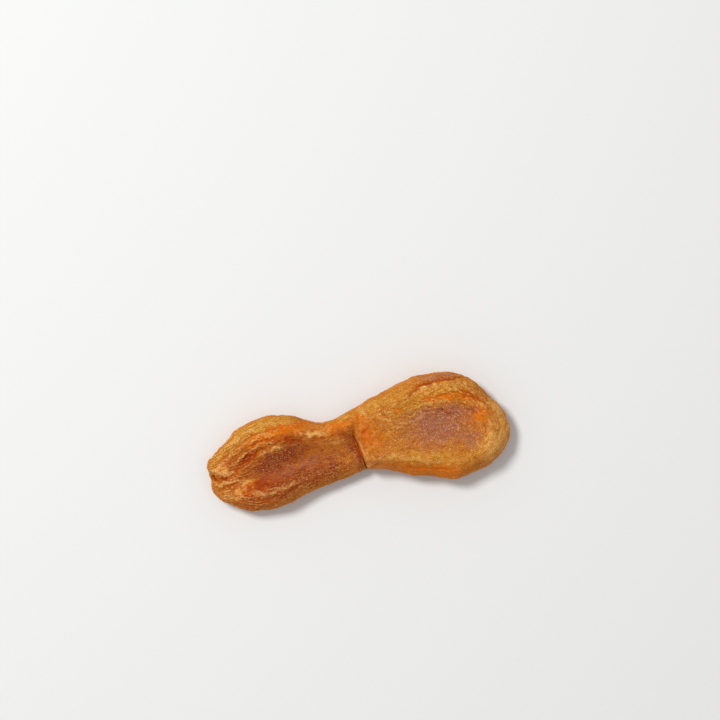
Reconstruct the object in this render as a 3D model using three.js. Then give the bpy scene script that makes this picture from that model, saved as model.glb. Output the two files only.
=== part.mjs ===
// A dried apricot, opened and stoned before it was dried. Its two halves are still joined
// by a strip of flesh, and they dried dome side up, one lapping a little over the other.
//
// Millimetres, +Z up. X runs along the fruit from its narrow half to its broad half, and
// the origin is on the surface that it rests on, under the middle of its outline.
//
// The fruit grew as one piece, so it is one solid: a sphere whose poles are the two tips,
// with every vertex moved to where the skin is. Seen from above it fills OUTLINE. Its edge
// rolls round from the domed top to the foot, and behind the foot each half is hollow.

import * as THREE from "three";

// Driving dimensions

const LENGTH = 70;

// The outline seen from above: the near side runs from right to left, the far side back.
const OUTLINE = [
  [-34.7, 2.9], [-33.5, 3.9], [-28.6, 7.5], [-25.3, 9.4], [-21.7, 10.5], [-16.9, 10.4],
  [-12.6, 9.2], [-9.4, 7.2], [-5.8, 6.3], [-2.3, 7.2], [1.2, 8.2], [3.6, 9.4],
  [8.0, 10.3], [14.5, 12.3], [19.6, 12.4], [24.3, 11.7], [29.2, 8.4], [32.1, 4.2],
  [33.8, 1.9], [35.0, -3.3], [34.3, -6.3], [32.5, -8.5], [28.9, -10.8], [23.8, -12.1],
  [20.0, -12.4], [15.3, -10.8], [9.1, -8.8], [3.4, -6.5], [0.7, -6.3], [-2.8, -6.9],
  [-8.6, -7.8], [-16.5, -9.5], [-21.6, -10.7], [-27.0, -9.9], [-32.2, -7.1], [-34.8, -4.3],
  [-35.0, -0.3],
];

const NARROW_TOP = 7.6; // height of the narrow half's dome
const NECK_TOP = 6.5; // height of the strip that joins the halves
const BROAD_TOP = 9.0; // height of the broad half's dome
const TOP_ROLL = 4.4; // how far in from the edge the top of the roll is
const FOOT_ROLL = 2.4; // how far in from the edge the roll meets the surface it rests on
const EDGE_SHARE = 0.44; // where the outermost edge is, between the foot and the top

// The lap: the rolled edge of the broad half lies over the end of the narrow half.
const LAP_BOW = 0.019; // how strongly its line bows, per mm
const LAP_BOW_Y = 3.0; // where along the line it reaches furthest towards the narrow half
const LAP_ROLL = 3.4; // how far in from its line the top of the lapping edge is
const LAP_CREASE = 0.7; // how deep the crease in front of the lap is
const LAP_OVERHANG = 0.35; // how far the lapping edge leans out over the crease
const LAP_FADE_Y = 3.6; // the crease starts to fade here, and is gone where the halves are joined
const LAP_FADE = 3.2;

// Broad swellings and dips of the top: centre, half sizes along and across, turn and rise.
const TOP_FORMS = [
  { at: [-22.0, 7.2], half: [13.0, 3.0], turn: 4, rise: 0.9 }, // far roll, narrow half
  { at: [-12.0, -1.4], half: [12.0, 3.6], turn: 3, rise: -1.9 }, // its trough
  { at: [-24.0, -1.6], half: [6.0, 4.0], turn: 12, rise: -0.8 }, // its trough at the tip
  { at: [-22.0, -7.0], half: [11.0, 2.6], turn: 10, rise: 0.7 }, // near roll, narrow half
  { at: [-2.5, 4.6], half: [6.0, 2.6], turn: 8, rise: 0.7 }, // joining strip
  { at: [9.5, -4.6], half: [9.0, 2.2], turn: -14, rise: 0.8 }, // near roll, broad half
  { at: [19.0, -1.4], half: [10.5, 5.0], turn: -4, rise: -1.5 }, // its shallow basin
  { at: [17.5, 7.6], half: [10.0, 2.8], turn: 0, rise: 0.7 }, // far roll, broad half
  { at: [19.5, 10.4], half: [5.5, 0.9], turn: -3, rise: -0.9 }, // groove under its lip
  { at: [30.5, -2.5], half: [2.6, 6.5], turn: 0, rise: 0.8 }, // roll at its tip
  { at: [-37.0, -1.0], half: [7.5, 12.0], turn: 0, rise: -2.2 }, // narrow tip thins out
  { at: [37.0, -3.0], half: [6.0, 12.0], turn: 0, rise: -1.8 }, // broad tip thins out
];

// The hollow that the stone left under each half.
const HOLLOWS = [
  { at: [-21.5, -0.2], half: [10.4, 6.2], turn: 4, height: 3.3 },
  { at: [19.2, -0.3], half: [12.0, 7.8], turn: -6, height: 3.8 },
];

// Where the foot lifts off the surface, and where it sits down on it.
const FOOT_FORMS = [
  { at: [1.0, 0.0], half: [8.0, 11.0], turn: 0, rise: 2.3 }, // the neck arches over
  { at: [-34.0, -1.0], half: [5.5, 9.0], turn: 0, rise: 1.9 }, // narrow tip
  { at: [34.5, 0.0], half: [6.0, 9.0], turn: 0, rise: 1.7 }, // broad tip
  { at: [17.0, 12.0], half: [6.0, 4.0], turn: 0, rise: 0.9 }, // far edge, broad half
  { at: [-21.0, 10.5], half: [7.0, 4.0], turn: 0, rise: 0.6 }, // far edge, narrow half
];
const FOOT_DROP = 0.35; // how far the foot is pressed flat where it sits down

// The notch at the narrow tip, where the stalk was.
const NOTCH = { at: [-35.6, -0.6], half: [2.6, 0.75], turn: -6, rise: -1.5 };

const AROUND = 52; // faces round the fruit
const ALONG = 70; // faces from tip to tip
const CREASE_GATHER = 0.7; // how much closer the rings of vertices lie at the lap
const CREASE_REACH = 0.1; // how far that reaches, as a share of the half length

// Shape functions

const degrees = Math.PI / 180;

function ease(low, high, value) {
  return THREE.MathUtils.smoothstep(value, low, high);
}

// Where a point is within an oval of the given centre, half sizes and turn: 1 is its edge.
function within({ at, half, turn }, x, y) {
  const c = Math.cos(turn * degrees);
  const s = Math.sin(turn * degrees);
  const along = (x - at[0]) * c + (y - at[1]) * s;
  const across = (y - at[1]) * c - (x - at[0]) * s;
  return [along / half[0], across / half[1]];
}

// A smooth hill or dip over such an oval.
function form(oval, x, y) {
  const [along, across] = within(oval, x, y);
  return oval.rise * Math.exp(-along * along - across * across);
}

// A quarter round: 0 at the edge, 1 once the distance in from it reaches the roll's size.
function quarterRound(distance, roll) {
  const left = 1 - THREE.MathUtils.clamp(distance / roll, 0, 1);
  return Math.sqrt(1 - left * left);
}

const outline = new THREE.CatmullRomCurve3(
  OUTLINE.map(([x, y]) => new THREE.Vector3(x, y, 0)),
  true,
  "centripetal",
).getSpacedPoints(720);

const outlineBox = new THREE.Box3().setFromPoints(outline);

function edgeDistance(x, y) {
  const point = new THREE.Vector3(x, y, 0);
  const nearest = new THREE.Vector3();
  const side = new THREE.Line3();
  let best = Infinity;
  for (let i = 1; i < outline.length; i++) {
    side.set(outline[i - 1], outline[i]).closestPointToPoint(point, true, nearest);
    best = Math.min(best, nearest.distanceTo(point));
  }
  return best;
}

// The near and far edges of the outline at x.
function edgesAt(x) {
  const crossings = [];
  for (let i = 1; i < outline.length; i++) {
    const a = outline[i - 1];
    const b = outline[i];
    if ((a.x - x) * (b.x - x) <= 0 && a.x !== b.x) {
      crossings.push(THREE.MathUtils.lerp(a.y, b.y, (x - a.x) / (b.x - a.x)));
    }
  }
  return [Math.min(...crossings), Math.max(...crossings)];
}

// How far x is past the line of the lap, towards the broad half.
function pastLap(x, y) {
  return x - lapLine(y);
}

function lapLine(y) {
  return LAP_BOW * (y - LAP_BOW_Y) ** 2;
}

// 1 where the crease is deepest, 0 on the strip that joins the halves.
function lapDepth(y) {
  return 1 - ease(LAP_FADE_Y, LAP_FADE_Y + LAP_FADE, y);
}

function topHeight(x, y) {
  const past = pastLap(x, y);
  const narrow = THREE.MathUtils.lerp(NARROW_TOP, NECK_TOP, ease(-16, -3, x));
  const smooth = THREE.MathUtils.lerp(narrow, BROAD_TOP, ease(-5, 10, past));
  const crease = LAP_CREASE * Math.exp(-Math.abs(past) / 1.2);
  const neck = narrow - crease;
  const lapped = past < 0 ? neck : THREE.MathUtils.lerp(neck, BROAD_TOP, quarterRound(past, LAP_ROLL));
  let height = THREE.MathUtils.lerp(smooth, lapped, lapDepth(y));
  for (const swelling of TOP_FORMS) height += form(swelling, x, y);
  return height;
}

function footHeight(x, y) {
  let height = -FOOT_DROP;
  for (const lift of FOOT_FORMS) height += form(lift, x, y);
  return height;
}

function hollowHeight(x, y) {
  let height = 0;
  for (const hollow of HOLLOWS) {
    const [along, across] = within(hollow, x, y);
    height += hollow.height * (1 - ease(0.35, 1, Math.hypot(along, across)));
  }
  return height;
}

// Moves a vertex of the unit sphere to its place on the skin.
function placeOnSkin(vertex) {
  const gathered = CREASE_GATHER * CREASE_REACH;
  const share =
    (vertex.x - gathered * Math.tanh(vertex.x / CREASE_REACH)) /
    (1 - gathered * Math.tanh(1 / CREASE_REACH));
  let x = THREE.MathUtils.clamp(
    (share * LENGTH) / 2,
    outlineBox.min.x + 1e-3,
    outlineBox.max.x - 1e-3,
  );
  const ring = Math.hypot(vertex.y, vertex.z);
  const sideways = ring > 1e-6 ? vertex.y / ring : 0;
  const acrossAt = (where) => {
    const [near, far] = edgesAt(where);
    return (near + far) / 2 + (sideways * (far - near)) / 2;
  };
  x += lapLine(acrossAt(x)) * Math.exp(-((x / 7) ** 2));
  const y = acrossAt(x);

  const distance = edgeDistance(x, y);
  const top = topHeight(x, y);
  const foot = footHeight(x, y);
  const edge = Math.max(foot, 0) + EDGE_SHARE * (top - Math.max(foot, 0));
  let z;
  if (vertex.z >= 0) {
    z = THREE.MathUtils.lerp(edge, top, quarterRound(distance, TOP_ROLL));
  } else {
    const under = Math.max(foot, 0) + hollowHeight(x, y);
    z = THREE.MathUtils.lerp(edge, under, quarterRound(distance, FOOT_ROLL));
  }
  const past = pastLap(x, y);
  const lean = past > 0 && vertex.z > 0 ? past * Math.exp(1 - past) * lapDepth(y) : 0;
  const notch = -form(NOTCH, x, y);
  vertex.set(x - LAP_OVERHANG * lean + notch, y, z);
}

function apricotGeometry() {
  const geometry = new THREE.SphereGeometry(1, AROUND, ALONG);
  geometry.rotateZ(-Math.PI / 2);
  const position = geometry.getAttribute("position");
  const vertex = new THREE.Vector3();
  for (let i = 0; i < position.count; i++) {
    vertex.fromBufferAttribute(position, i);
    placeOnSkin(vertex);
    position.setXYZ(i, vertex.x, vertex.y, vertex.z);
  }
  geometry.computeVertexNormals();
  return geometry;
}

// The fruit

const driedSkin = new THREE.MeshStandardMaterial({
  color: 0xbe7b34,
  roughness: 0.55,
  metalness: 0,
});

const apricot = new THREE.Mesh(apricotGeometry(), driedSkin);
apricot.name = "dried_apricot";

const fruit = new THREE.Group();
fruit.add(apricot);

export default fruit;
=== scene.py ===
# A dried apricot on a pale table, seen from above.
#
# Lengths are in millimetres while the fruit is shaped, and turned to metres where a mesh
# is written. The frame is the CAD model's own: X runs from the fruit's narrow half to its
# broad half, Z is up, and the table is at Z = 0.

import math

import bmesh
import bpy
import numpy as np
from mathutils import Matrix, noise


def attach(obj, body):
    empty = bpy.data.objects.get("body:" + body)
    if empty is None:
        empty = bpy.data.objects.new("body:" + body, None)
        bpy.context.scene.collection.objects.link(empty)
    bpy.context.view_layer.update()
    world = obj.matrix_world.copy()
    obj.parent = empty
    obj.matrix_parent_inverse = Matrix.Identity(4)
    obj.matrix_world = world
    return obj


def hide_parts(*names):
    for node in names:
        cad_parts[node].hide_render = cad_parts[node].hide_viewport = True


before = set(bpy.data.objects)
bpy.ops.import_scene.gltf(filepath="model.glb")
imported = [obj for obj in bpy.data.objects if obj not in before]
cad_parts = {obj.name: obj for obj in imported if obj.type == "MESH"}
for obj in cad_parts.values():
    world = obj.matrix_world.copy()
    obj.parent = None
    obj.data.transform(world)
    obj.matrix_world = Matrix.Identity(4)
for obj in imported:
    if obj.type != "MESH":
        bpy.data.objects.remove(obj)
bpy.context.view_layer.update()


# The fruit
#
# One apricot that was split along its seam, stoned and dried on a tray. Its two halves
# still hang together by a strip of flesh. The skin is dry and leathery and the flesh under
# it translucent, and as it shrank the skin gathered into wrinkles along the fruit.

MM = 0.001
SKIN_FACE = 0.185  # side of a face of the finished skin
UNDERSIDE_KEPT = 0.7  # share of all the faces that is left once the underside's are merged


def with_modifiers_applied(piece):
    graph = bpy.context.evaluated_depsgraph_get()
    made = bpy.data.meshes.new_from_object(piece.evaluated_get(graph))
    piece.modifiers.clear()
    piece.data = made


def places(mesh):
    flat = np.empty(len(mesh.vertices) * 3)
    mesh.vertices.foreach_get("co", flat)
    return flat.reshape(-1, 3) / MM


def facings(mesh):
    flat = np.empty(len(mesh.vertices) * 3, np.float32)
    mesh.vertex_normals.foreach_get("vector", flat)
    return flat.reshape(-1, 3).astype(float)


def move_to(mesh, place):
    mesh.vertices.foreach_set("co", (place * MM).ravel())
    mesh.update()


def smoothed(mesh, rounds):
    """Evens out a mesh, a round at a time, and returns where its vertices come to lie."""
    eased = bmesh.new()
    eased.from_mesh(mesh)
    for _ in range(rounds):
        bmesh.ops.smooth_vert(
            eased, verts=eased.verts, factor=0.5, use_axis_x=True, use_axis_y=True, use_axis_z=True
        )
    place = np.array([v.co[:] for v in eased.verts]) / MM
    eased.free()
    return place


# Its form is the CAD solid's, rounded and given small even faces.

form = bmesh.new()
form.from_mesh(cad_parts["dried_apricot"].data)
bmesh.ops.remove_doubles(form, verts=form.verts, dist=0.001 * MM)
bmesh.ops.join_triangles(
    form, faces=form.faces, angle_face_threshold=0.7, angle_shape_threshold=0.9
)
form_mesh = bpy.data.meshes.new("whole_apricot")
form.to_mesh(form_mesh)
form.free()
apricot = bpy.data.objects.new("whole_apricot", form_mesh)
bpy.context.scene.collection.objects.link(apricot)

rounding = apricot.modifiers.new("rounding", "SUBSURF")
rounding.levels = rounding.render_levels = 2
evening = apricot.modifiers.new("evening", "REMESH")
evening.mode = "VOXEL"
evening.voxel_size = SKIN_FACE * MM
with_modifiers_applied(apricot)
underside = apricot.vertex_groups.new(name="underside")
underside.add([v.index for v in apricot.data.vertices if v.normal.z < -0.3], 1.0, "REPLACE")
coarser = apricot.modifiers.new("coarser_underside", "DECIMATE")
coarser.ratio = UNDERSIDE_KEPT
coarser.vertex_group = underside.name
with_modifiers_applied(apricot)
apricot.vertex_groups.clear()
move_to(apricot.data, smoothed(apricot.data, 4))

place = places(apricot.data)
facing = facings(apricot.data)
x, y, z = place.T
facing_up = facing[:, 2]


# How the skin lies: the distance along the fruit, and round it from the crown of the top.


def ease(low, high, value):
    share = np.clip((value - low) / (high - low), 0, 1)
    return share * share * (3 - 2 * share)


stations = np.arange(-34.5, 34.6, 0.5)
near_edge = np.array([y[np.abs(x - s) < 0.4].min() for s in stations])
far_edge = np.array([y[np.abs(x - s) < 0.4].max() for s in stations])
crown = np.array([z[np.abs(x - s) < 0.4].max() for s in stations])
middle = np.interp(x, stations, (near_edge + far_edge) / 2)
half_width = np.interp(x, stations, (far_edge - near_edge) / 2)
drop = np.interp(x, stations, crown) - z

LAY_WIDTH = 10.0
share_across = np.clip((y - middle) / np.sqrt(half_width**2 + 9), -1, 1)
side = np.sign(share_across)
round_top = share_across * (LAY_WIDTH + drop)
round_foot = side * (LAY_WIDTH * 2 + 9 - LAY_WIDTH * np.abs(share_across))
lay_round = np.where(facing_up > -0.1, round_top, round_foot)
lay_along = x

# At the broad tip the wrinkles follow the rim instead, and on the lapping edge they run
# along it.

TIP_CENTRE = (20.0, -1.0)
TIP_SIZES = (14.8, 12.2)
tip_x = (x - TIP_CENTRE[0]) / TIP_SIZES[0]
tip_y = (y - TIP_CENTRE[1]) / TIP_SIZES[1]
turned_across = np.where(x > 10, np.hypot(tip_x, tip_y) * 12 + drop, x - z)
turned_along = np.where(x > 10, np.arctan2(tip_y, tip_x) * 12, y)
turned = ease(19, 27, x) + ease(-0.3, 0.3, x) * ease(4.5, 3.5, x) * ease(6.0, 3.0, y)


def grain(a, b, layer):
    points = np.column_stack((a, b, np.full(len(a), layer)))
    return np.array([noise.noise(p) for p in points.tolist()])


def wander(size, amount, layer):
    """A slow drift, much the same for points that lie near each other."""
    points = (place / size + layer * 3.7).tolist()
    return amount * np.array([noise.noise(p) for p in points])


def within(at, half, turn, east, north):
    """How far along and across an oval each point is, seen from above: 1 is its edge."""
    c = math.cos(math.radians(turn))
    s = math.sin(math.radians(turn))
    along = ((east - at[0]) * c + (north - at[1]) * s) / half[0]
    across = ((north - at[1]) * c - (east - at[0]) * s) / half[1]
    return along, across


def oval(at, half, turn):
    """1 in the middle of an oval seen from above, 0 well outside it, with a ragged edge."""
    along, across = within(at, half, turn, ragged_x, ragged_y)
    return np.exp(-((along**2 + across**2) ** 1.3))


ragged_x = x + wander(1.6, 1.1, 21) + wander(0.6, 0.3, 23)
ragged_y = y + wander(1.6, 1.1, 22) + wander(0.6, 0.3, 24)

# Underneath is the flesh, with the hollow that the stone left under each half: its middle,
# its half sizes and its turn.

HOLLOWS = [((-21.5, -0.2), (10.4, 6.2), 4), ((19.2, -0.3), (12.0, 7.8), -6)]
FAR_OFF = 9.0

from_hollow = np.full(len(x), FAR_OFF)
hollow_angle = np.zeros(len(x))
for at, half, turn in HOLLOWS:
    along, across = within(at, half, turn, x, y)
    away = np.hypot(along, across)
    closer = away < from_hollow
    from_hollow[closer] = away[closer]
    hollow_angle[closer] = np.arctan2(across * half[1], along * half[0])[closer]
flesh = ease(-0.25, -0.6, facing_up + wander(1.2, 0.35, 61) + wander(0.4, 0.2, 60))
in_hollow = ease(1.1, 0.75, from_hollow + wander(2.5, 0.25, 62)) * flesh
lip = np.exp(-(((from_hollow + wander(2.4, 0.15, 63) - 1.08) / 0.055) ** 2)) * flesh

# The lap: the edge of the broad half leans over the end of the narrow half, sharpest at
# the near side, and runs out on the strip that joins them.

# Where its line runs, as Y and X.
LAP_LINE = [(-7.5, 1.4), (-4.9, 1.1), (-2.5, 1.0), (-1.5, 0.8), (0.2, 0.4), (2.0, -0.3), (5.4, 0.2)]

# What moves there: the axis, how far, how far past the line its middle is, and its half width.
LAP_MOVES = [
    (0, -0.5, 0.5, 0.45),  # the edge leans out
    (2, 0.3, 0.8, 0.6),  # and swells
    (2, -1.0, -0.15, 0.3),  # the crease in front of it
    (2, -0.4, -0.6, 0.8),  # the dip that leads down to the crease
]

lap_y, lap_x = zip(*LAP_LINE)
past_lap = x - np.interp(y, lap_y, lap_x)
lap_open = ease(4.0, -0.5, y) * ease(-0.6, -0.1, facing_up)
for axis, move, centre, reach in LAP_MOVES:
    place[:, axis] += move * lap_open * np.exp(-(((past_lap - centre) / reach) ** 2))

# Folds that stand out, as lines drawn over the photograph and seen from above: how
# high and how wide each is, and through where it runs.

FOLDS = [
    # narrow half, from its far rim to its near one
    (0.2, 0.5, [(-33.4, 2.4), (-30.5, 4.8), (-27.0, 6.9), (-23.0, 8.6), (-18.0, 8.9), (-13.0, 7.3)]),
    (-0.25, 0.45, [(-31.5, 2.9), (-28.0, 5.4), (-24.5, 7.0), (-20.0, 7.7), (-15.0, 7.0)]),
    (0.25, 0.45, [(-31.8, 1.6), (-29.0, 3.4), (-26.0, 5.0), (-22.0, 6.2), (-18.0, 6.4)]),
    (-0.3, 0.45, [(-31.0, 0.9), (-28.4, 2.6), (-25.8, 4.1), (-22.0, 5.2), (-17.5, 5.4)]),
    (0.3, 0.4, [(-31.5, 0.2), (-29.9, 1.1), (-28.0, 2.0), (-25.7, 3.2), (-23.0, 4.1), (-19.5, 4.6)]),
    (-0.5, 0.5, [(-28.9, -0.6), (-27.1, 0.8), (-25.0, 2.3), (-23.4, 3.0), (-21.2, 3.4), (-17.0, 4.1)]),
    (0.3, 0.4, [(-28.0, -1.0), (-26.0, 0.2), (-23.6, 1.7), (-21.8, 2.3), (-19.1, 2.8), (-16.0, 3.2)]),
    (0.4, 0.45, [(-34.6, 1.2), (-33.6, 0.5), (-32.2, 0.0), (-30.2, -0.4), (-28.2, -0.2)]),
    (-1.0, 0.4, [(-35.4, -0.5), (-33.8, -1.0), (-32.4, -1.4), (-31.0, -1.5)]),
    (0.4, 0.45, [(-33.8, -2.2), (-31.8, -2.2), (-29.6, -2.1), (-27.8, -2.7), (-27.2, -4.2)]),
    (-0.35, 0.45, [(-34.0, -3.1), (-32.0, -3.6), (-30.0, -3.8), (-28.4, -4.6), (-27.4, -6.0)]),
    (0.25, 0.45, [(-33.8, -4.6), (-31.8, -5.6), (-29.5, -6.4), (-26.5, -6.9)]),
    (-0.4, 0.7, [(-25.6, -2.6), (-23.5, -4.2), (-21.5, -5.0), (-19.0, -4.9), (-16.5, -4.2)]),
    (0.25, 0.5, [(-26.0, -5.4), (-23.5, -6.5), (-20.5, -6.6), (-17.0, -5.9), (-13.0, -5.0)]),
    (-0.3, 0.45, [(-25.5, -7.6), (-22.1, -8.1), (-18.3, -7.5), (-15.9, -6.9), (-12.0, -5.8), (-8.3, -5.6)]),
    # joining strip
    (0.25, 0.5, [(-14.0, 6.0), (-10.7, 4.5), (-7.9, 4.2), (-4.5, 4.8)]),
    (-0.25, 0.5, [(-16.0, 4.6), (-13.0, 3.7), (-10.0, 3.2), (-6.0, 3.2), (-2.0, 3.9)]),
    (-0.2, 0.6, [(-9.5, -4.7), (-7.0, -4.3), (-4.4, -3.5)]),
    # the lapping edge
    (0.3, 0.45, [(2.4, 8.4), (2.5, 7.2), (3.0, 6.2), (4.0, 5.4), (5.6, 5.2)]),
    (-0.2, 0.5, [(3.4, 4.4), (2.9, 2.4), (2.6, 0.4), (3.0, -1.6)]),
    (0.2, 0.4, [(4.0, 3.6), (4.1, 1.4), (4.4, -0.8), (4.0, -2.6)]),
    # broad half, from its far rim to its near one
    (-0.3, 0.35, [(13.5, 9.2), (16.8, 10.3), (19.2, 10.7), (21.7, 10.5), (24.8, 10.3), (27.0, 9.4)]),
    (-0.15, 0.3, [(12.5, 8.2), (14.8, 9.2), (17.5, 9.6)]),
    (0.2, 0.45, [(13.0, 7.6), (16.0, 9.0), (18.5, 9.6), (22.0, 9.3), (26.0, 8.8), (28.5, 7.4)]),
    (-0.25, 0.35, [(22.5, 7.9), (25.0, 7.5), (27.2, 6.8), (29.2, 5.4)]),
    (-0.3, 0.35, [(24.0, 6.6), (26.2, 6.1), (28.2, 5.1), (30.6, 3.0)]),
    (-0.15, 0.35, [(8.4, 6.4), (10.1, 5.9), (12.4, 5.8), (15.0, 6.8)]),
    (-0.18, 0.3, [(9.0, 4.9), (11.5, 4.2), (14.0, 4.4), (17.0, 5.3), (20.0, 5.2)]),
    (
        0.28,
        0.3,
        [(5.8, 4.9), (7.2, 4.4), (8.9, 3.4), (11.1, 2.5), (13.0, 2.4), (15.4, 3.2), (18.5, 4.0)],
    ),
    (-0.3, 0.25, [(16.5, 4.2), (19.9, 4.2), (21.9, 2.7), (23.2, 1.1), (24.6, -0.6)]),
    (-0.25, 0.25, [(18.5, 5.2), (21.4, 4.0), (23.4, 2.1), (25.0, 0.4)]),
    (0.26, 0.25, [(6.4, 6.6), (9.6, 4.9), (13.0, 3.9), (16.4, 4.6), (20.0, 5.0)]),
    (0.24, 0.25, [(7.4, 3.2), (9.8, 1.9), (12.0, 1.4), (14.0, 2.0), (16.0, 3.4)]),
    (0.22, 0.25, [(19.0, 2.9), (21.4, 1.6), (23.0, -0.2), (24.2, -2.2)]),
    (0.26, 0.25, [(14.0, 5.2), (17.4, 6.2), (20.8, 6.0), (24.0, 4.4)]),
    (-0.18, 0.25, [(18.2, 7.2), (20.8, 7.3), (23.8, 6.9)]),
    (0.18, 0.25, [(22.0, 8.8), (25.4, 8.0), (28.4, 6.2), (30.8, 4.0), (32.4, 1.2)]),
    (-0.3, 0.4, [(32.6, 0.6), (33.0, -1.4), (32.8, -3.4), (31.4, -5.4)]),
    (
        0.25,
        0.55,
        [(2.8, -3.7), (5.0, -3.8), (8.0, -4.8), (11.5, -5.8), (15.0, -6.9), (20.0, -8.2), (24.4, -8.6)],
    ),
    (-0.2, 0.4, [(4.0, -5.3), (9.0, -6.8), (15.0, -8.8), (21.0, -10.4)]),
]


def smooth_line(points):
    """The line with its corners cut off twice, each time a quarter of the way along its sides."""
    line = np.array(points, float)
    for _ in range(2):
        a, b = line[:-1], line[1:]
        cut = np.stack((0.75 * a + 0.25 * b, 0.25 * a + 0.75 * b), 1).reshape(-1, 2)
        line = np.vstack((line[:1], cut, line[-1:]))
    return line


def fold(height, width, points):
    """How far one fold raises each vertex. It is highest in its middle and runs out at its ends."""
    line = smooth_line(points)
    low = line.min(0) - 3 * width
    high = line.max(0) + 3 * width
    close = np.flatnonzero((x > low[0]) & (x < high[0]) & (y > low[1]) & (y < high[1]))
    nearest = np.full(len(close), FAR_OFF)
    passed = np.zeros(len(close))
    for i, (a, b) in enumerate(zip(line[:-1], line[1:])):
        run = b - a
        from_a_x = bent_x[close] - a[0]
        from_a_y = bent_y[close] - a[1]
        share = np.clip((from_a_x * run[0] + from_a_y * run[1]) / (run @ run), 0, 1)
        away = np.hypot(from_a_x - share * run[0], from_a_y - share * run[1])
        closer = away < nearest
        nearest[closer] = away[closer]
        passed[closer] = (i + share[closer]) / (len(line) - 1)
    fading = np.sin(np.pi * np.clip(passed, 0.02, 0.98)) ** 0.5
    raised_by = np.zeros(len(x))
    raised_by[close] = height * fading * np.exp(-((nearest / width) ** 2))
    return raised_by


# The folds waver, and drying has worn them down by a different share from place to place.

bent_x = x + wander(1.5, 0.7, 31) + wander(0.6, 0.3, 33)
bent_y = y + wander(1.5, 0.7, 32) + wander(0.6, 0.3, 34)
worn = 0.25 + 0.45 * ease(-0.25, 0.3, wander(2.0, 1.0, 35))
on_top = ease(-0.1, 0.25, facing_up)
folded = sum(fold(*one) for one in FOLDS) * worn * on_top


# Wrinkles: deep ones and fine ones between the folds, and pebbling all over.

DEEP_SPACING = 1.1
DEEP_HEIGHT = 0.3
FINE_SPACING = 0.6
FINE_HEIGHT = 0.14
PEBBLE_SIZE = 0.75
PEBBLE_HEIGHT = 0.15

# Where the skin is rough: ovals as their middle, half sizes and turn, and how rough.
ROUGH_ELSEWHERE = 0.14
ROUGH = [
    ((-24.0, 5.5), (11.0, 4.0), 12, 1.0),
    ((-31.0, -1.0), (5.5, 7.0), 0, 1.0),
    ((-22.0, -8.0), (12.0, 3.0), 12, 0.65),
    ((-8.0, 5.0), (5.0, 2.0), 0, 0.5),
    ((14.0, 7.6), (12.0, 3.0), 15, 0.4),
    ((22.0, 8.0), (7.0, 3.0), -6, 0.3),
    ((27.5, 4.6), (6.0, 6.0), -40, 0.45),
    ((31.5, -3.0), (3.0, 8.0), 0, 0.25),
]


def ridges(spacing, length, drift, layer):
    """Narrow crests with broad valleys between, from 0 in the valleys to 1 on the crests."""
    shift = wander(2.2, drift, layer) + wander(0.8, drift / 4, layer + 1)
    long_way = grain((lay_round + shift) / spacing, lay_along / length, layer)
    turned_way = grain((turned_across + shift) / spacing, turned_along / length, layer + 0.5)
    value = long_way * (1 - turned) + turned_way * turned
    return 1 - np.clip(np.abs(value) / 0.4, 0, 1)


rough = sum(strength * oval(at, half, turn) for at, half, turn, strength in ROUGH)
rough = ROUGH_ELSEWHERE + rough
at_lap = np.exp(-(((past_lap - 2.2) / 1.8) ** 2)) * ease(6.0, 3.0, y) * on_top
rough = np.clip(rough + 0.3 * ease(0.6, 0.1, facing_up), 0, 1) * (1 - at_lap)

patchy = 0.35 + 0.65 * ease(-0.25, 0.3, wander(3.0, 1.0, 40))
broken = 0.55 + 0.45 * ease(-0.2, 0.2, wander(1.3, 1.0, 41))
deep = ridges(DEEP_SPACING, 6.5, 1.0, 1)
fine = ridges(FINE_SPACING, 4.5, 0.5, 3)
pebbles = np.abs(wander(PEBBLE_SIZE, 1.0, 5))
rise = folded + DEEP_HEIGHT * rough * patchy * (deep**1.4 * broken - 0.25)
rise += (0.04 + FINE_HEIGHT * rough) * (fine * broken - 0.3)
rise += (0.02 + PEBBLE_HEIGHT * rough) * (pebbles - 0.25)
rise += at_lap * (wander(1.6, 0.4, 11) + wander(0.7, 0.2, 12))
rise += wander(6.0, 0.4, 8) * on_top
rise += wander(2.6, 0.3, 9) * ease(0.8, 0.3, facing_up)
rise *= ease(-0.7, 0.1, facing_up)

# The flesh puckers round each hollow, has fibres in it and crumples elsewhere.

PUCKER_HEIGHT = 0.6
VEIN_HEIGHT = 0.25
CRUMPLE_HEIGHT = 0.18
LIP_HEIGHT = 0.25

swing = hollow_angle + wander(3.0, 0.25, 64)
puckers = grain(np.cos(swing) * 6, np.sin(swing) * 6, 65)
crumples = np.abs(wander(1.6, 1.0, 69)) + 0.5 * np.abs(wander(0.8, 1.0, 70))
veins = grain(lay_along / 9, share_across * LAY_WIDTH / 1.1 + wander(3.0, 0.5, 66), 67)
near_hollow = ease(1.9, 1.3, from_hollow)
rise += PUCKER_HEIGHT * flesh * (1 - in_hollow) * near_hollow * (0.2 - np.abs(puckers))
rise += VEIN_HEIGHT * flesh * np.maximum(in_hollow, 1 - near_hollow) * (0.25 - np.abs(veins))
rise += CRUMPLE_HEIGHT * flesh * (1 - in_hollow) * (crumples - 0.35)
rise += LIP_HEIGHT * lip * (0.7 + wander(1.0, 1.0, 68))

place = place + facing * rise[:, None]
place[:, 2] = np.maximum(place[:, 2], 0)
move_to(apricot.data, place)

# How far each point stands out from the skin round it, over a wide and a narrow patch.

facing = facings(apricot.data)
raised = ((place - smoothed(apricot.data, 12)) * facing).sum(1)
crisp = ((place - smoothed(apricot.data, 2)) * facing).sum(1)

# Tints
#
# Each is a colour as it looks on a screen, and the ovals, seen from above, that it fills.
# Later ones lie over earlier ones.

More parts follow.
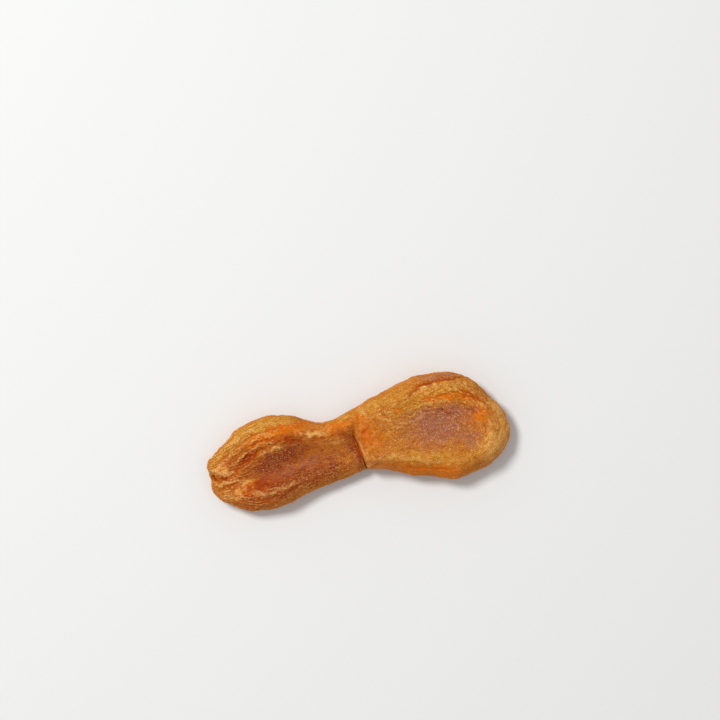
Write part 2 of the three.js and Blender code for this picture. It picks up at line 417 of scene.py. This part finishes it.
TINTS = {
    "honey": (
        (196, 136, 42),
        [
            ((-20.0, 8.9), (9.0, 1.3), 0, 1.0),
            ((-28.4, 5.8), (4.5, 1.3), 38, 0.9),
            ((-32.4, 2.4), (2.4, 1.4), 50, 0.8),
            ((-0.4, -5.2), (1.6, 0.9), 0, 0.8),
            ((-2.6, 6.6), (4.0, 1.0), 12, 0.8),
            ((7.0, 8.4), (7.0, 1.8), 14, 0.7),
            ((16.0, 6.4), (7.0, 2.6), 6, 0.8),
            ((24.4, 8.0), (4.0, 1.3), -10, 0.8),
            ((30.0, -6.6), (3.0, 3.0), 0, 0.7),
            ((17.0, -6.6), (10.0, 1.4), -12, 0.6),
            ((-29.0, -7.4), (3.0, 1.2), -24, 0.6),
        ],
    ),
    "amber": (
        (216, 116, 12),
        [
            ((-16.0, 6.4), (7.0, 1.6), 4, 0.9),
            ((-22.6, 5.2), (3.4, 1.2), 14, 0.8),
            ((-30.6, 2.0), (2.2, 0.9), 35, 0.6),
            ((-28.4, -0.6), (1.8, 1.0), 40, 0.9),
            ((-25.6, -5.2), (3.6, 1.7), 0, 0.8),
            ((-4.0, 5.0), (4.0, 1.2), 5, 0.8),
            ((2.0, 2.2), (2.0, 4.2), 4, 0.7),
            ((4.6, 0.6), (2.2, 3.2), 10, 0.5),
            ((21.0, 6.6), (4.5, 1.0), -4, 0.8),
            ((28.6, 0.6), (2.8, 1.8), 15, 0.9),
            ((27.2, 5.6), (3.4, 1.0), -28, 0.7),
            ((10.6, 5.8), (2.6, 0.6), 5, 0.5),
            ((14.0, -9.2), (13.0, 1.9), -14, 0.6),
            ((32.6, -3.0), (1.1, 2.6), 0, 0.7),
        ],
    ),
    "russet": (
        (170, 74, 12),
        [
            ((-18.0, -1.5), (15.0, 6.0), 6, 0.5),
            ((-24.0, -7.5), (11.0, 3.0), 10, 0.55),
            ((-29.0, 1.5), (6.0, 3.5), 30, 0.4),
            ((-24.6, 2.4), (3.2, 0.9), 26, 1.0),
            ((-14.0, 4.2), (3.4, 1.0), -4, 0.8),
            ((-2.8, 3.2), (1.8, 1.4), 0, 0.7),
            ((-21.0, -4.7), (4.4, 1.6), 4, 1.0),
            ((1.0, 4.4), (0.8, 2.0), 0, 0.6),
            # This strip along the lap's crease is painted shadow, where the narrow half runs under the
            # broad one.
            ((0.1, -1.6), (0.9, 4.6), 8, 0.8),
            ((18.4, 10.5), (3.0, 0.5), 10, 0.9),
            ((24.0, 10.4), (3.0, 0.4), -6, 0.7),
            ((15.0, 9.2), (2.4, 0.7), 24, 0.6),
            ((28.0, 5.6), (2.8, 0.7), -30, 0.7),
            ((27.0, 2.4), (1.4, 1.4), 0, 0.6),
            ((32.6, -3.4), (0.6, 1.6), 0, 0.7),
            ((27.6, -4.8), (2.0, 0.9), 0, 0.4),
        ],
    ),
    "rose": (
        (168, 104, 80),
        [
            ((18.5, 0.0), (7.5, 4.6), -6, 0.8),
            ((21.0, 2.8), (6.0, 1.6), -8, 0.8),
            ((26.0, -4.2), (2.6, 2.2), 0, 0.6),
            ((21.5, 11.4), (4.4, 0.8), -4, 0.8),
            ((-14.0, -2.6), (8.0, 2.2), 8, 0.6),
        ],
    ),
    # The umber tint is painted shade: darker brown along the near side of the narrow half and the strip,
    # which face away from the lamp, and by the near end of the lap's crease.
    "umber_shade": (
        (146, 64, 20),
        [
            ((-14.0, -4.6), (9.0, 2.2), 8, 0.8),
            ((-22.0, -7.2), (8.0, 1.2), 6, 0.5),
            ((-7.0, -5.6), (6.0, 1.8), 8, 0.6),
            ((-0.6, -4.4), (1.6, 2.6), 10, 0.5),
        ],
    ),
    "plum": (
        (140, 60, 28),
        [
            ((-18.6, 0.4), (7.6, 2.4), 17, 1.0),
            ((-6.2, -4.0), (2.6, 0.9), 18, 0.9),
            # This strip beside the lap's crease is painted shadow, where the narrow half runs under the
            # broad one.
            ((-1.4, -1.0), (1.4, 4.4), 8, 0.5),
            ((-5.5, -0.6), (6.0, 3.4), 8, 0.3),
            ((20.6, 3.6), (4.6, 0.7), -8, 0.4),
            ((-19.0, -8.0), (3.0, 1.0), 10, 0.6),
        ],
    ),
    "straw": (
        (226, 168, 92),
        [
            ((-32.2, 1.0), (1.4, 0.7), 10, 0.8),
            ((-26.4, 6.4), (1.5, 0.6), 30, 0.6),
            ((-18.6, 3.4), (1.6, 0.4), 20, 0.7),
            ((-9.4, 4.2), (2.4, 0.7), 4, 0.8),
            ((-4.8, 1.8), (2.0, 0.8), 0, 0.4),
            ((-28.8, -5.0), (1.6, 0.6), 30, 0.7),
            ((-26.3, -3.2), (1.2, 0.8), 30, 0.6),
            ((-3.0, 7.0), (2.0, 0.6), 14, 0.6),
            ((4.4, 7.8), (3.4, 0.9), 12, 0.2),
            ((18.2, 9.3), (2.4, 0.5), 8, 0.5),
            ((29.8, 2.9), (1.2, 0.5), -30, 0.6),
            ((9.0, -4.4), (7.0, 0.6), -12, 0.2),
            # These two, on the broad tip's near and right rim, are pale partly as painted light, lifting
            # the rim that the lamp up to the left leaves in shade.
            ((31.5, -6.0), (3.2, 5.5), -30, 0.7),
            ((33.0, 1.0), (1.4, 5.0), 6, 0.6),
        ],
    ),
}


def keep(name, values):
    layer = apricot.data.attributes.new(name, "FLOAT", "POINT")
    layer.data.foreach_set("value", values.astype(np.float32))


def keep_vector(name, columns):
    layer = apricot.data.attributes.new(name, "FLOAT_VECTOR", "POINT")
    layer.data.foreach_set("vector", np.column_stack(columns).astype(np.float32).ravel())


def filled(spots):
    """How much of each vertex the ovals of one tint cover between them."""
    bare = np.ones(len(x))
    for at, half, turn, strength in spots:
        bare *= 1 - strength * oval(at, half, turn)
    return 1 - bare


for name, (_, spots) in TINTS.items():
    keep(name, filled(spots) * ease(0.0, 0.5, facing_up))
keep("raised", raised)
keep("rough", rough)
keep("creased", folded)
keep("crisp", crisp)
keep("flesh", flesh)
keep("in_hollow", in_hollow)
keep("lip", lip)
keep("lap", at_lap)
keep("rim", ease(0.65, 0.15, facing_up) * ease(-0.5, -0.1, facing_up))
keep("turned", turned)
keep_vector("lay", (lay_along, lay_round, np.zeros(len(x))))
keep_vector("turned_lay", (turned_along, turned_across, np.zeros(len(x))))
for polygon in apricot.data.polygons:
    polygon.use_smooth = True

# Its skin: patterns in mm, which the colours, the relief and the shine are made from.


def pigment(red, green, blue):
    """A colour given as it looks on a screen, 0 to 255, in the shader's own linear values."""
    return tuple(((c / 255 + 0.055) / 1.055) ** 2.4 for c in (red, green, blue)) + (1,)


skin = bpy.data.materials.new("dried_skin")
skin.use_nodes = True
nodes = skin.node_tree.nodes
links = skin.node_tree.links
shader = nodes["Principled BSDF"]


def put(value, socket):
    if isinstance(value, bpy.types.NodeSocket):
        links.new(value, socket)
    else:
        socket.default_value = value


def attribute(name, output="Fac"):
    node = nodes.new("ShaderNodeAttribute")
    node.attribute_name = name
    return node.outputs[output]


def maths(operation, a, b):
    node = nodes.new("ShaderNodeMath")
    node.operation = operation
    put(a, node.inputs[0])
    put(b, node.inputs[1])
    return node.outputs["Value"]


def spread(value, low, high, to_low=0.0, to_high=1.0):
    node = nodes.new("ShaderNodeMapRange")
    put(value, node.inputs["Value"])
    node.inputs["From Min"].default_value = low
    node.inputs["From Max"].default_value = high
    node.inputs["To Min"].default_value = to_low
    node.inputs["To Max"].default_value = to_high
    return node.outputs["Result"]


def blend(share, a, b, kind="MIX"):
    node = nodes.new("ShaderNodeMix")
    node.data_type = "RGBA"
    node.blend_type = kind
    put(share, node.inputs[0])
    put(a, node.inputs[6])
    put(b, node.inputs[7])
    return node.outputs[2]


def speckle(size, detail):
    """A noise pattern with cells about so many mm across."""
    texture = nodes.new("ShaderNodeTexNoise")
    texture.inputs["Scale"].default_value = 1 / (size * MM)
    texture.inputs["Detail"].default_value = detail
    links.new(nodes.new("ShaderNodeTexCoord").outputs["Object"], texture.inputs["Vector"])
    return texture.outputs["Fac"]


def streaks(lay, length, width, detail):
    """A noise pattern drawn out along the lay of the skin, in mm."""
    mapping = nodes.new("ShaderNodeMapping")
    mapping.inputs["Scale"].default_value = (1 / length, 1 / width, 1)
    links.new(attribute(lay, "Vector"), mapping.inputs["Vector"])
    texture = nodes.new("ShaderNodeTexNoise")
    texture.inputs["Scale"].default_value = 1.0
    texture.inputs["Detail"].default_value = detail
    links.new(mapping.outputs["Vector"], texture.inputs["Vector"])
    return texture.outputs["Fac"]


def fibres(length, width, detail):
    node = nodes.new("ShaderNodeMix")
    put(attribute("turned"), node.inputs[0])
    put(streaks("lay", length, width, detail), node.inputs[2])
    put(streaks("turned_lay", length, width, detail), node.inputs[3])
    return node.outputs[0]


fibre = fibres(1.8, 0.3, 3.0)
hairs = fibres(0.9, 0.16, 1.0)
bands = fibres(5.0, 0.9, 3.0)
mottle = speckle(1.3, 5.0)
warmth = speckle(1.1, 3.0)
clusters = speckle(0.8, 2.0)
pores = speckle(0.32, 3.0)
grains = speckle(0.26, 1.0)
specks = speckle(0.17, 0.0)

# The tints lie over a brown ground, with edges that the lay of the skin frays.

GROUND_DARK = pigment(180, 104, 30)
GROUND_LIGHT = pigment(198, 128, 46)
RIM = pigment(206, 128, 42)

colour = blend(spread(mottle, 0.35, 0.65), GROUND_DARK, GROUND_LIGHT)
colour = blend(attribute("rim"), colour, RIM)
blotched = spread(mottle, 0.3, 0.7, -0.22, 0.22)
frayed = spread(fibre, 0.3, 0.7, -0.2, 0.2)
unevenness = maths("ADD", blotched, frayed)
for name, (tint, _) in TINTS.items():
    wanted = attribute(name)
    ragged = spread(maths("ADD", wanted, unevenness), 0.1, 0.8)
    share = maths("MULTIPLY", ragged, spread(wanted, 0.0, 0.15))
    colour = blend(share, colour, pigment(*tint))

# Over them the colour drifts: darker and lighter along the skin, yellower and redder in
# patches. Each of these multiplies the colour by its red, green and blue.

DARK_BAND = (0.86, 0.78, 0.6, 1)
LIGHT_BAND = (1.12, 1.16, 1.25, 1)
SALLOW = (1.0, 1.0, 0.72, 1)
RUDDY = (1.06, 0.82, 0.8, 1)

uneven = spread(attribute("rough"), 0.1, 0.7, 0.7, 1.0)
colour = blend(spread(bands, 0.5, 0.3, 0.0, 0.8), colour, DARK_BAND, "MULTIPLY")
colour = blend(spread(bands, 0.5, 0.7, 0.0, 0.8), colour, LIGHT_BAND, "MULTIPLY")
sallow = maths("MULTIPLY", spread(warmth, 0.52, 0.68), uneven)
ruddy = maths("MULTIPLY", spread(warmth, 0.48, 0.32), uneven)
colour = blend(sallow, colour, SALLOW, "MULTIPLY")
colour = blend(ruddy, colour, RUDDY, "MULTIPLY")

# The valleys of the wrinkles are darker and more orange, partly the moist flesh's own colour and partly
# painted shade; the narrowest valleys get painted shade alone. Their crests are paler, partly dry skin and
# partly a painted highlight.

VALLEY_TINT_AND_SHADE = (0.92, 0.64, 0.12, 1)
NARROW_VALLEY_SHADE = (0.78, 0.52, 0.15, 1)
FIBRE = (0.76, 0.58, 0.36, 1)
CLUSTER = (0.86, 0.7, 0.5, 1)
CREST_PALE_AND_HIGHLIGHT = pigment(236, 188, 112)

moist = maths("MAXIMUM", attribute("amber"), attribute("russet"))
in_fold = spread(attribute("creased"), -0.01, -0.14, 0.0, 0.7)
valley = maths("MAXIMUM", spread(attribute("raised"), 0.0, -0.12), in_fold)
narrow_valley_shade = spread(attribute("crisp"), 0.0, -0.04, 0.0, 0.5)
# Painted shade, with the moist flesh's own colour, in the valleys, and painted shade alone in the narrowest
# ones.
colour = blend(maths("MULTIPLY", valley, 0.7), colour, VALLEY_TINT_AND_SHADE, "MULTIPLY")
colour = blend(narrow_valley_shade, colour, NARROW_VALLEY_SHADE, "MULTIPLY")
colour = blend(spread(fibre, 0.35, 0.7, 0.0, 0.4), colour, FIBRE, "MULTIPLY")
patches = maths("MULTIPLY", spread(clusters, 0.5, 0.7, 0.0, 0.6), uneven)
colour = blend(patches, colour, CLUSTER, "MULTIPLY")

broad_crest = spread(attribute("raised"), 0.02, 0.13)
broad_crest = maths("MULTIPLY", broad_crest, spread(fibre, 0.35, 0.55, 0.4, 1.0))
narrow_crest = spread(attribute("crisp"), 0.01, 0.05)
narrow_crest = maths("MULTIPLY", narrow_crest, spread(pores, 0.4, 0.6, 0.3, 0.9))
fold_crest = spread(attribute("creased"), 0.01, 0.14)
fold_crest = maths("MULTIPLY", fold_crest, spread(pores, 0.38, 0.6))
fold_crest = maths("MULTIPLY", fold_crest, spread(attribute("rough"), 0.1, 0.8, 0.5, 1.0))
crest_and_highlight = maths("MAXIMUM", maths("MAXIMUM", broad_crest, narrow_crest), fold_crest)
crest_and_highlight = maths("MULTIPLY", crest_and_highlight, spread(attribute("lap"), 0.0, 1.0, 0.8, 0.3))
# A painted highlight, with the pale dry skin, on the crests.
colour = blend(maths("MULTIPLY", crest_and_highlight, 0.8), colour, CREST_PALE_AND_HIGHLIGHT)

# Where it is dry it has pale flecks, partly dust and sugar and partly painted glints, and sugar that came
# out as light and dark grains.

FLECK_AND_GLINT = pigment(248, 204, 130)
PORE = (0.64, 0.5, 0.34, 1)
LIGHT_GRAIN = (1.5, 1.6, 1.95, 1)
DARK_GRAIN = (0.56, 0.46, 0.34, 1)

dry = maths("MULTIPLY", spread(moist, 0.0, 0.8, 1.0, 0.2), spread(valley, 0.0, 0.6, 1.0, 0.1))
at_edge = maths("MAXIMUM", attribute("lap"), attribute("rim"))
dry = maths("MULTIPLY", dry, spread(at_edge, 0.0, 1.0, 1.0, 0.3))
dust_and_glint_share = maths("MULTIPLY", spread(attribute("rough"), 0.0, 1.0, 0.6, 0.9), dry)
dust_and_glint_share = maths("MULTIPLY", dust_and_glint_share, spread(clusters, 0.35, 0.6, 1.0, 0.35))
# More flecks where the umber painted shade or the plum lie.
darkest = maths("MAXIMUM", attribute("umber_shade"), attribute("plum"))
dust_and_glint_share = maths("MAXIMUM", dust_and_glint_share, maths("MULTIPLY", darkest, 0.45))
flecks_and_glints = maths("MAXIMUM", spread(specks, 0.63, 0.72), spread(hairs, 0.62, 0.74))
# Pale flecks: partly dust and sugar, partly painted glints.
colour = blend(maths("MULTIPLY", flecks_and_glints, dust_and_glint_share), colour, FLECK_AND_GLINT)
colour = blend(spread(pores, 0.42, 0.3, 0.0, 0.45), colour, PORE, "MULTIPLY")
grainy = spread(moist, 0.0, 1.0, 0.52, 0.4)
light_grains = maths("MULTIPLY", maths("MULTIPLY", spread(grains, 0.5, 0.7), grainy), dry)
dark_grains = maths("MULTIPLY", spread(grains, 0.5, 0.3), grainy)
colour = blend(light_grains, colour, LIGHT_GRAIN, "MULTIPLY")
colour = blend(dark_grains, colour, DARK_GRAIN, "MULTIPLY")

# Underneath is the flesh: orange, redder in the hollows and lighter on their lips. Painted shade darkens
# the valleys of its relief, and a painted highlight lightens its crests.

FLESH_DARK = pigment(176, 84, 18)
FLESH_LIGHT = pigment(212, 132, 44)
FLESH_RUDDY = (0.86, 0.66, 0.6, 1)
FLESH_VALLEY_SHADE = (0.75, 0.5, 0.3, 1)
FLESH_CREST_HIGHLIGHT = pigment(226, 150, 62)
FLESH_GRAIN = (0.66, 0.5, 0.34, 1)
HOLLOW_DARK = pigment(156, 60, 10)
HOLLOW_LIGHT = pigment(194, 96, 20)
LIP = pigment(216, 148, 66)

inside = blend(spread(mottle, 0.35, 0.65), FLESH_DARK, FLESH_LIGHT)
inside = blend(ruddy, inside, FLESH_RUDDY, "MULTIPLY")
hollowed = blend(spread(bands, 0.4, 0.6), HOLLOW_DARK, HOLLOW_LIGHT)
inside = blend(attribute("in_hollow"), inside, hollowed)
# Painted shade in the flesh's valleys, and a painted highlight on its crests.
inside = blend(maths("MULTIPLY", valley, 0.6), inside, FLESH_VALLEY_SHADE, "MULTIPLY")
inside = blend(spread(attribute("raised"), 0.02, 0.12, 0.0, 0.6), inside, FLESH_CREST_HIGHLIGHT)
inside = blend(maths("MULTIPLY", attribute("lip"), 0.45), inside, LIP)
inside = blend(spread(grains, 0.55, 0.3, 0.0, 0.5), inside, FLESH_GRAIN, "MULTIPLY")
colour = blend(attribute("flesh"), colour, inside)
links.new(colour, shader.inputs["Base Color"])

# The finest relief is in the shader: hairs of fibre and pores, and specks that glint.

RELIEF_DEPTH = 0.1
SPARKLE_DEPTH = 0.12


def bump(height, depth, socket):
    node = nodes.new("ShaderNodeBump")
    node.inputs["Strength"].default_value = 1.0
    node.inputs["Distance"].default_value = depth * MM
    links.new(height, node.inputs["Height"])
    links.new(node.outputs["Normal"], shader.inputs[socket])


hairy = maths("MULTIPLY", hairs, spread(attribute("flesh"), 0.0, 1.0, 0.5, 0.0))
relief = maths("ADD", hairy, maths("MULTIPLY", pores, 0.6))
bump(relief, RELIEF_DEPTH, "Normal")
bump(specks, SPARKLE_DEPTH, "Coat Normal")
links.new(spread(moist, 0.2, 0.9, 0.62, 0.42), shader.inputs["Roughness"])
glints = spread(pores, 0.6, 0.66)
glints = maths("MULTIPLY", glints, spread(attribute("raised"), -0.05, 0.08, 0.15, 1.0))
lap_glints = maths("MULTIPLY", attribute("lap"), spread(pores, 0.52, 0.58))
glints = maths("MAXIMUM", glints, lap_glints)
glints = maths("MULTIPLY", glints, spread(attribute("flesh"), 0.0, 1.0, 1.0, 0.1))
wet = maths("ADD", glints, spread(attribute("in_hollow"), 0.0, 1.0, 0.0, 0.25))
links.new(wet, shader.inputs["Coat Weight"])
shader.inputs["Coat Roughness"].default_value = 0.12
shader.inputs["Specular IOR Level"].default_value = 0.03
shader.inputs["Subsurface Weight"].default_value = 0.15
shader.inputs["Subsurface Radius"].default_value = (0.9, 0.35, 0.12)
shader.inputs["Subsurface Scale"].default_value = MM
apricot.data.materials.clear()
apricot.data.materials.append(skin)

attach(apricot, "root")
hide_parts("dried_apricot")


# The table
#
# A plain pale top that the fruit lies on. It is no part of the fruit.

table_mesh = bpy.data.meshes.new("table")
table_form = bmesh.new()
bmesh.ops.create_grid(table_form, x_segments=1, y_segments=1, size=2.0)
table_form.to_mesh(table_mesh)
table_form.free()
table = bpy.data.objects.new("table", table_mesh)
bpy.context.scene.collection.objects.link(table)
paper = bpy.data.materials.new("pale_paper")
paper.use_nodes = True
paper.node_tree.nodes["Principled BSDF"].inputs["Base Color"].default_value = (0.8, 0.8, 0.79, 1)
paper.node_tree.nodes["Principled BSDF"].inputs["Roughness"].default_value = 0.9
table_mesh.materials.append(paper)


# The light
#
# A large soft light up to the left, and an even pale room.


def soft_light(name, at, size, power):
    lamp = bpy.data.lights.new(name, "AREA")
    lamp.shape = "DISK"
    lamp.size = size
    lamp.energy = power
    holder = bpy.data.objects.new(name, lamp)
    holder.location = at
    holder.rotation_euler = (-holder.location).to_track_quat("-Z", "Y").to_euler()
    bpy.context.scene.collection.objects.link(holder)


soft_light("key", at=(-0.3, 0.36, 0.75), size=0.25, power=5.3)
room = bpy.data.worlds.new("room")
bpy.context.scene.world = room
room.use_nodes = True
room.node_tree.nodes["Background"].inputs["Color"].default_value = (1, 1, 1, 1)
room.node_tree.nodes["Background"].inputs["Strength"].default_value = 0.5
bpy.context.scene.view_settings.view_transform = "Standard"


# The camera
#
# It looks straight down, as in the photograph, where the fruit's length runs 12 degrees up
# from the picture's width, and it frames as much as the photograph does.

PICTURE_WIDTH = 164.6  # what the photograph is across at the fruit's height, in mm
PICTURE_MIDDLE = (4.58, 18.77)  # where the photograph's middle is from the fruit's, in mm
FRUIT_TILT = 12.0  # degrees
CAMERA_HEIGHT = 0.62
TOP_HEIGHT = 0.008

lens = bpy.data.cameras.new("camera")
lens.sensor_width = 36
lens.lens = 36 * (CAMERA_HEIGHT - TOP_HEIGHT) / (PICTURE_WIDTH * MM)
camera = bpy.data.objects.new("camera", lens)
camera.location = (PICTURE_MIDDLE[0] * MM, PICTURE_MIDDLE[1] * MM, CAMERA_HEIGHT)
camera.rotation_euler = (0, 0, -math.radians(FRUIT_TILT))
bpy.context.scene.collection.objects.link(camera)
bpy.context.scene.camera = camera
